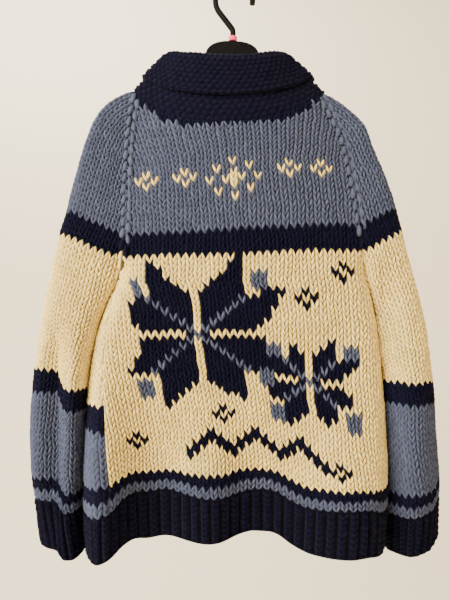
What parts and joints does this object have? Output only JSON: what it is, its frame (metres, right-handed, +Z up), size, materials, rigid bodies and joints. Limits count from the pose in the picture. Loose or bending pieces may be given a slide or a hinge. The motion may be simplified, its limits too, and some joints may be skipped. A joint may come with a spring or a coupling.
{
  "type": "cowichan sweater on a hanger",
  "caption": "Chunky hand-knitted raglan pullover with a folded shawl collar, hanging flat on a plastic hanger with a round hook.",
  "frame": {"origin": "inside top of the hanger's hook, where a rail carries it", "axes": "+Z up, +X to the wearer's right sleeve, -Y towards the garment's back, +Y towards its front"},
  "size_m": [0.5657, 0.1108, 0.8029],
  "materials": {
    "ivory_wool": "thick hand-spun wool knitting, ivory with blue-grey and navy bands and motifs",
    "navy_wool": "thick navy wool, ribbed or in garter stitch",
    "black_plastic": "moulded black plastic, lightly worn",
    "pink_plastic": "small pink plastic ring"
  },
  "bodies": {
    "root": {"back": "ivory_wool", "front": "ivory_wool", "sleeve_left": "ivory_wool", "sleeve_right": "ivory_wool", "cuff_left": "navy_wool", "cuff_right": "navy_wool", "back_hem_rib": "navy_wool", "front_hem_rib": "navy_wool", "collar": "navy_wool", "hanger_body": "black_plastic", "hanger_hook": "black_plastic", "hanger_ring": "pink_plastic"}
  },
  "joints": []
}
